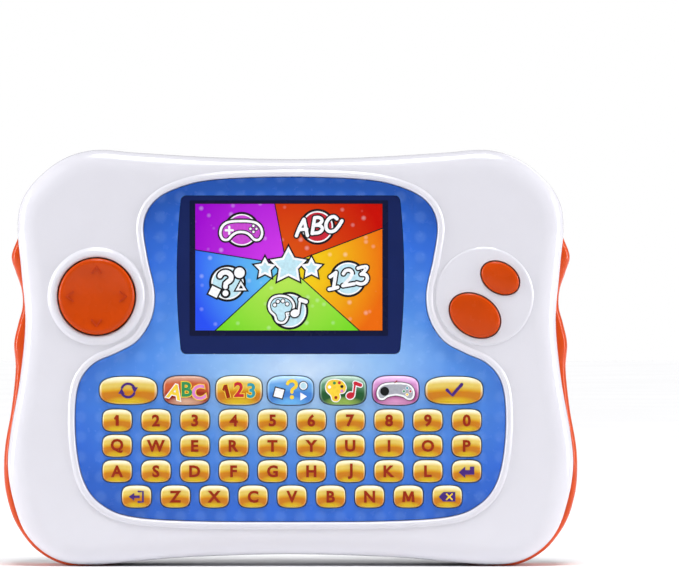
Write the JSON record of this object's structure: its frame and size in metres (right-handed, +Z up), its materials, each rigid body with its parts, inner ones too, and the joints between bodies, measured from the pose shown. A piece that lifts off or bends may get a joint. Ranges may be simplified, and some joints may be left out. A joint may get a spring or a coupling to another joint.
{
  "type": "toy learning tablet",
  "caption": "Waisted toy tablet with side grips, colour display, direction pad, oval buttons, sprung letter keys, power switch, rear feet and hinged battery door.",
  "frame": {"origin": "centre of the footprint's bounding box, on the surface under the standing tablet's lower corners", "axes": "+X to the right as seen from the front, +Y from the face towards the rear feet, +Z up towards the top edge"},
  "size_m": [0.2306, 0.0424, 0.167],
  "materials": {
    "front_white": "glossy moulded ABS",
    "rear_white": "glossy moulded ABS",
    "door_white": "glossy moulded ABS",
    "grip_orange": "soft-touch moulded grip, satin",
    "fascia_blue": "printed glossy sheet",
    "mat_rubber": "silicone rubber",
    "electronics": "circuit boards and mouldings",
    "cells": "AA cells",
    "screws": "black steel",
    "button_orange": "glossy moulded ABS",
    "pivot_plastic": "acetal",
    "slider_black": "black moulded knob",
    "key_amber": "clear-coated moulded cap",
    "key_red": "clear-coated moulded cap",
    "key_blue": "clear-coated moulded cap",
    "key_green": "clear-coated moulded cap",
    "key_pink": "clear-coated moulded cap"
  },
  "bodies": {
    "tablet": {"front_shell": "front_white", "rear_shell": "rear_white", "side_grips": "grip_orange", "fascia_panel": "fascia_blue", "key_mat": "mat_rubber", "electronics": "electronics", "batteries": "cells", "case_screws": "screws"},
    "battery_door": {"battery_door": "door_white"},
    "dpad_pivot": {"dpad_pivot": "pivot_plastic"},
    "dpad": {"dpad": "button_orange"},
    "upper_button": {"upper_button": "button_orange"},
    "lower_button": {"lower_button": "button_orange"},
    "power_slider": {"power_slider": "slider_black"},
    "key_repeat": {"key_repeat": "key_amber"},
    "key_letters": {"key_letters": "key_red"},
    "key_numbers": {"key_numbers": "key_amber"},
    "key_question": {"key_question": "key_blue"},
    "key_colours": {"key_colours": "key_green"},
    "key_games": {"key_games": "key_pink"},
    "key_answer": {"key_answer": "key_amber"},
    "key_1": {"key_1": "key_amber"},
    "key_2": {"key_2": "key_amber"},
    "key_3": {"key_3": "key_amber"},
    "key_4": {"key_4": "key_amber"},
    "key_5": {"key_5": "key_amber"},
    "key_6": {"key_6": "key_amber"},
    "key_7": {"key_7": "key_amber"},
    "key_8": {"key_8": "key_amber"},
    "key_9": {"key_9": "key_amber"},
    "key_0": {"key_0": "key_amber"},
    "key_q": {"key_q": "key_amber"},
    "key_w": {"key_w": "key_amber"},
    "key_e": {"key_e": "key_amber"},
    "key_r": {"key_r": "key_amber"},
    "key_t": {"key_t": "key_amber"},
    "key_y": {"key_y": "key_amber"},
    "key_u": {"key_u": "key_amber"},
    "key_i": {"key_i": "key_amber"},
    "key_o": {"key_o": "key_amber"},
    "key_p": {"key_p": "key_amber"},
    "key_a": {"key_a": "key_amber"},
    "key_s": {"key_s": "key_amber"},
    "key_d": {"key_d": "key_amber"},
    "key_f": {"key_f": "key_amber"},
    "key_g": {"key_g": "key_amber"},
    "key_h": {"key_h": "key_amber"},
    "key_j": {"key_j": "key_amber"},
    "key_k": {"key_k": "key_amber"},
    "key_l": {"key_l": "key_amber"},
    "key_enter": {"key_enter": "key_amber"},
    "key_escape": {"key_escape": "key_amber"},
    "key_z": {"key_z": "key_amber"},
    "key_x": {"key_x": "key_amber"},
    "key_c": {"key_c": "key_amber"},
    "key_v": {"key_v": "key_amber"},
    "key_b": {"key_b": "key_amber"},
    "key_n": {"key_n": "key_amber"},
    "key_m": {"key_m": "key_amber"},
    "key_backspace": {"key_backspace": "key_amber"}
  },
  "joints": [
    {"name": "door_hinge", "type": "hinge", "parent": "tablet", "child": "battery_door", "pos_m": [0, 0.0149, 0.0295], "axis": [-1, 0, 0], "range_deg": [0, 100]},
    {"name": "pad_tilt_up_down", "type": "hinge", "parent": "tablet", "child": "dpad_pivot", "pos_m": [-0.0775, -0.0143, 0.1082], "axis": [1, 0, 0], "range_deg": [-4, 4], "stiffness_Nm_per_rad": 0.28},
    {"name": "pad_tilt_left_right", "type": "hinge", "parent": "dpad_pivot", "child": "dpad", "pos_m": [-0.0775, -0.0143, 0.1082], "axis": [0, 0, 1], "range_deg": [-4, 4], "stiffness_Nm_per_rad": 0.28},
    {"name": "upper_button_press", "type": "slide", "parent": "tablet", "child": "upper_button", "axis": [0, 1, 0], "range_m": [0, 0.0015], "stiffness_N_per_m": 300, "springref_m": -0.0005},
    {"name": "lower_button_press", "type": "slide", "parent": "tablet", "child": "lower_button", "axis": [0, 1, 0], "range_m": [0, 0.0015], "stiffness_N_per_m": 300, "springref_m": -0.0005},
    {"name": "power_slide", "type": "slide", "parent": "tablet", "child": "power_slider", "axis": [-1, 0, 0], "range_m": [0, 0.004]},
    {"name": "key_repeat_press", "type": "slide", "parent": "tablet", "child": "key_repeat", "axis": [0, 1, 0], "range_m": [0, 0.0012], "stiffness_N_per_m": 250, "springref_m": -0.0004},
    {"name": "key_letters_press", "type": "slide", "parent": "tablet", "child": "key_letters", "axis": [0, 1, 0], "range_m": [0, 0.0012], "stiffness_N_per_m": 250, "springref_m": -0.0004},
    {"name": "key_numbers_press", "type": "slide", "parent": "tablet", "child": "key_numbers", "axis": [0, 1, 0], "range_m": [0, 0.0012], "stiffness_N_per_m": 250, "springref_m": -0.0004},
    {"name": "key_question_press", "type": "slide", "parent": "tablet", "child": "key_question", "axis": [0, 1, 0], "range_m": [0, 0.0012], "stiffness_N_per_m": 250, "springref_m": -0.0004},
    {"name": "key_colours_press", "type": "slide", "parent": "tablet", "child": "key_colours", "axis": [0, 1, 0], "range_m": [0, 0.0012], "stiffness_N_per_m": 250, "springref_m": -0.0004},
    {"name": "key_games_press", "type": "slide", "parent": "tablet", "child": "key_games", "axis": [0, 1, 0], "range_m": [0, 0.0012], "stiffness_N_per_m": 250, "springref_m": -0.0004},
    {"name": "key_answer_press", "type": "slide", "parent": "tablet", "child": "key_answer", "axis": [0, 1, 0], "range_m": [0, 0.0012], "stiffness_N_per_m": 250, "springref_m": -0.0004},
    {"name": "key_1_press", "type": "slide", "parent": "tablet", "child": "key_1", "axis": [0, 1, 0], "range_m": [0, 0.0012], "stiffness_N_per_m": 250, "springref_m": -0.0004},
    {"name": "key_2_press", "type": "slide", "parent": "tablet", "child": "key_2", "axis": [0, 1, 0], "range_m": [0, 0.0012], "stiffness_N_per_m": 250, "springref_m": -0.0004},
    {"name": "key_3_press", "type": "slide", "parent": "tablet", "child": "key_3", "axis": [0, 1, 0], "range_m": [0, 0.0012], "stiffness_N_per_m": 250, "springref_m": -0.0004},
    {"name": "key_4_press", "type": "slide", "parent": "tablet", "child": "key_4", "axis": [0, 1, 0], "range_m": [0, 0.0012], "stiffness_N_per_m": 250, "springref_m": -0.0004},
    {"name": "key_5_press", "type": "slide", "parent": "tablet", "child": "key_5", "axis": [0, 1, 0], "range_m": [0, 0.0012], "stiffness_N_per_m": 250, "springref_m": -0.0004},
    {"name": "key_6_press", "type": "slide", "parent": "tablet", "child": "key_6", "axis": [0, 1, 0], "range_m": [0, 0.0012], "stiffness_N_per_m": 250, "springref_m": -0.0004},
    {"name": "key_7_press", "type": "slide", "parent": "tablet", "child": "key_7", "axis": [0, 1, 0], "range_m": [0, 0.0012], "stiffness_N_per_m": 250, "springref_m": -0.0004},
    {"name": "key_8_press", "type": "slide", "parent": "tablet", "child": "key_8", "axis": [0, 1, 0], "range_m": [0, 0.0012], "stiffness_N_per_m": 250, "springref_m": -0.0004},
    {"name": "key_9_press", "type": "slide", "parent": "tablet", "child": "key_9", "axis": [0, 1, 0], "range_m": [0, 0.0012], "stiffness_N_per_m": 250, "springref_m": -0.0004},
    {"name": "key_0_press", "type": "slide", "parent": "tablet", "child": "key_0", "axis": [0, 1, 0], "range_m": [0, 0.0012], "stiffness_N_per_m": 250, "springref_m": -0.0004},
    {"name": "key_q_press", "type": "slide", "parent": "tablet", "child": "key_q", "axis": [0, 1, 0], "range_m": [0, 0.0012], "stiffness_N_per_m": 250, "springref_m": -0.0004},
    {"name": "key_w_press", "type": "slide", "parent": "tablet", "child": "key_w", "axis": [0, 1, 0], "range_m": [0, 0.0012], "stiffness_N_per_m": 250, "springref_m": -0.0004},
    {"name": "key_e_press", "type": "slide", "parent": "tablet", "child": "key_e", "axis": [0, 1, 0], "range_m": [0, 0.0012], "stiffness_N_per_m": 250, "springref_m": -0.0004},
    {"name": "key_r_press", "type": "slide", "parent": "tablet", "child": "key_r", "axis": [0, 1, 0], "range_m": [0, 0.0012], "stiffness_N_per_m": 250, "springref_m": -0.0004},
    {"name": "key_t_press", "type": "slide", "parent": "tablet", "child": "key_t", "axis": [0, 1, 0], "range_m": [0, 0.0012], "stiffness_N_per_m": 250, "springref_m": -0.0004},
    {"name": "key_y_press", "type": "slide", "parent": "tablet", "child": "key_y", "axis": [0, 1, 0], "range_m": [0, 0.0012], "stiffness_N_per_m": 250, "springref_m": -0.0004},
    {"name": "key_u_press", "type": "slide", "parent": "tablet", "child": "key_u", "axis": [0, 1, 0], "range_m": [0, 0.0012], "stiffness_N_per_m": 250, "springref_m": -0.0004},
    {"name": "key_i_press", "type": "slide", "parent": "tablet", "child": "key_i", "axis": [0, 1, 0], "range_m": [0, 0.0012], "stiffness_N_per_m": 250, "springref_m": -0.0004},
    {"name": "key_o_press", "type": "slide", "parent": "tablet", "child": "key_o", "axis": [0, 1, 0], "range_m": [0, 0.0012], "stiffness_N_per_m": 250, "springref_m": -0.0004},
    {"name": "key_p_press", "type": "slide", "parent": "tablet", "child": "key_p", "axis": [0, 1, 0], "range_m": [0, 0.0012], "stiffness_N_per_m": 250, "springref_m": -0.0004},
    {"name": "key_a_press", "type": "slide", "parent": "tablet", "child": "key_a", "axis": [0, 1, 0], "range_m": [0, 0.0012], "stiffness_N_per_m": 250, "springref_m": -0.0004},
    {"name": "key_s_press", "type": "slide", "parent": "tablet", "child": "key_s", "axis": [0, 1, 0], "range_m": [0, 0.0012], "stiffness_N_per_m": 250, "springref_m": -0.0004},
    {"name": "key_d_press", "type": "slide", "parent": "tablet", "child": "key_d", "axis": [0, 1, 0], "range_m": [0, 0.0012], "stiffness_N_per_m": 250, "springref_m": -0.0004},
    {"name": "key_f_press", "type": "slide", "parent": "tablet", "child": "key_f", "axis": [0, 1, 0], "range_m": [0, 0.0012], "stiffness_N_per_m": 250, "springref_m": -0.0004},
    {"name": "key_g_press", "type": "slide", "parent": "tablet", "child": "key_g", "axis": [0, 1, 0], "range_m": [0, 0.0012], "stiffness_N_per_m": 250, "springref_m": -0.0004},
    {"name": "key_h_press", "type": "slide", "parent": "tablet", "child": "key_h", "axis": [0, 1, 0], "range_m": [0, 0.0012], "stiffness_N_per_m": 250, "springref_m": -0.0004},
    {"name": "key_j_press", "type": "slide", "parent": "tablet", "child": "key_j", "axis": [0, 1, 0], "range_m": [0, 0.0012], "stiffness_N_per_m": 250, "springref_m": -0.0004},
    {"name": "key_k_press", "type": "slide", "parent": "tablet", "child": "key_k", "axis": [0, 1, 0], "range_m": [0, 0.0012], "stiffness_N_per_m": 250, "springref_m": -0.0004},
    {"name": "key_l_press", "type": "slide", "parent": "tablet", "child": "key_l", "axis": [0, 1, 0], "range_m": [0, 0.0012], "stiffness_N_per_m": 250, "springref_m": -0.0004},
    {"name": "key_enter_press", "type": "slide", "parent": "tablet", "child": "key_enter", "axis": [0, 1, 0], "range_m": [0, 0.0012], "stiffness_N_per_m": 250, "springref_m": -0.0004},
    {"name": "key_escape_press", "type": "slide", "parent": "tablet", "child": "key_escape", "axis": [0, 1, 0], "range_m": [0, 0.0012], "stiffness_N_per_m": 250, "springref_m": -0.0004},
    {"name": "key_z_press", "type": "slide", "parent": "tablet", "child": "key_z", "axis": [0, 1, 0], "range_m": [0, 0.0012], "stiffness_N_per_m": 250, "springref_m": -0.0004},
    {"name": "key_x_press", "type": "slide", "parent": "tablet", "child": "key_x", "axis": [0, 1, 0], "range_m": [0, 0.0012], "stiffness_N_per_m": 250, "springref_m": -0.0004},
    {"name": "key_c_press", "type": "slide", "parent": "tablet", "child": "key_c", "axis": [0, 1, 0], "range_m": [0, 0.0012], "stiffness_N_per_m": 250, "springref_m": -0.0004},
    {"name": "key_v_press", "type": "slide", "parent": "tablet", "child": "key_v", "axis": [0, 1, 0], "range_m": [0, 0.0012], "stiffness_N_per_m": 250, "springref_m": -0.0004},
    {"name": "key_b_press", "type": "slide", "parent": "tablet", "child": "key_b", "axis": [0, 1, 0], "range_m": [0, 0.0012], "stiffness_N_per_m": 250, "springref_m": -0.0004},
    {"name": "key_n_press", "type": "slide", "parent": "tablet", "child": "key_n", "axis": [0, 1, 0], "range_m": [0, 0.0012], "stiffness_N_per_m": 250, "springref_m": -0.0004},
    {"name": "key_m_press", "type": "slide", "parent": "tablet", "child": "key_m", "axis": [0, 1, 0], "range_m": [0, 0.0012], "stiffness_N_per_m": 250, "springref_m": -0.0004},
    {"name": "key_backspace_press", "type": "slide", "parent": "tablet", "child": "key_backspace", "axis": [0, 1, 0], "range_m": [0, 0.0012], "stiffness_N_per_m": 250, "springref_m": -0.0004}
  ]
}
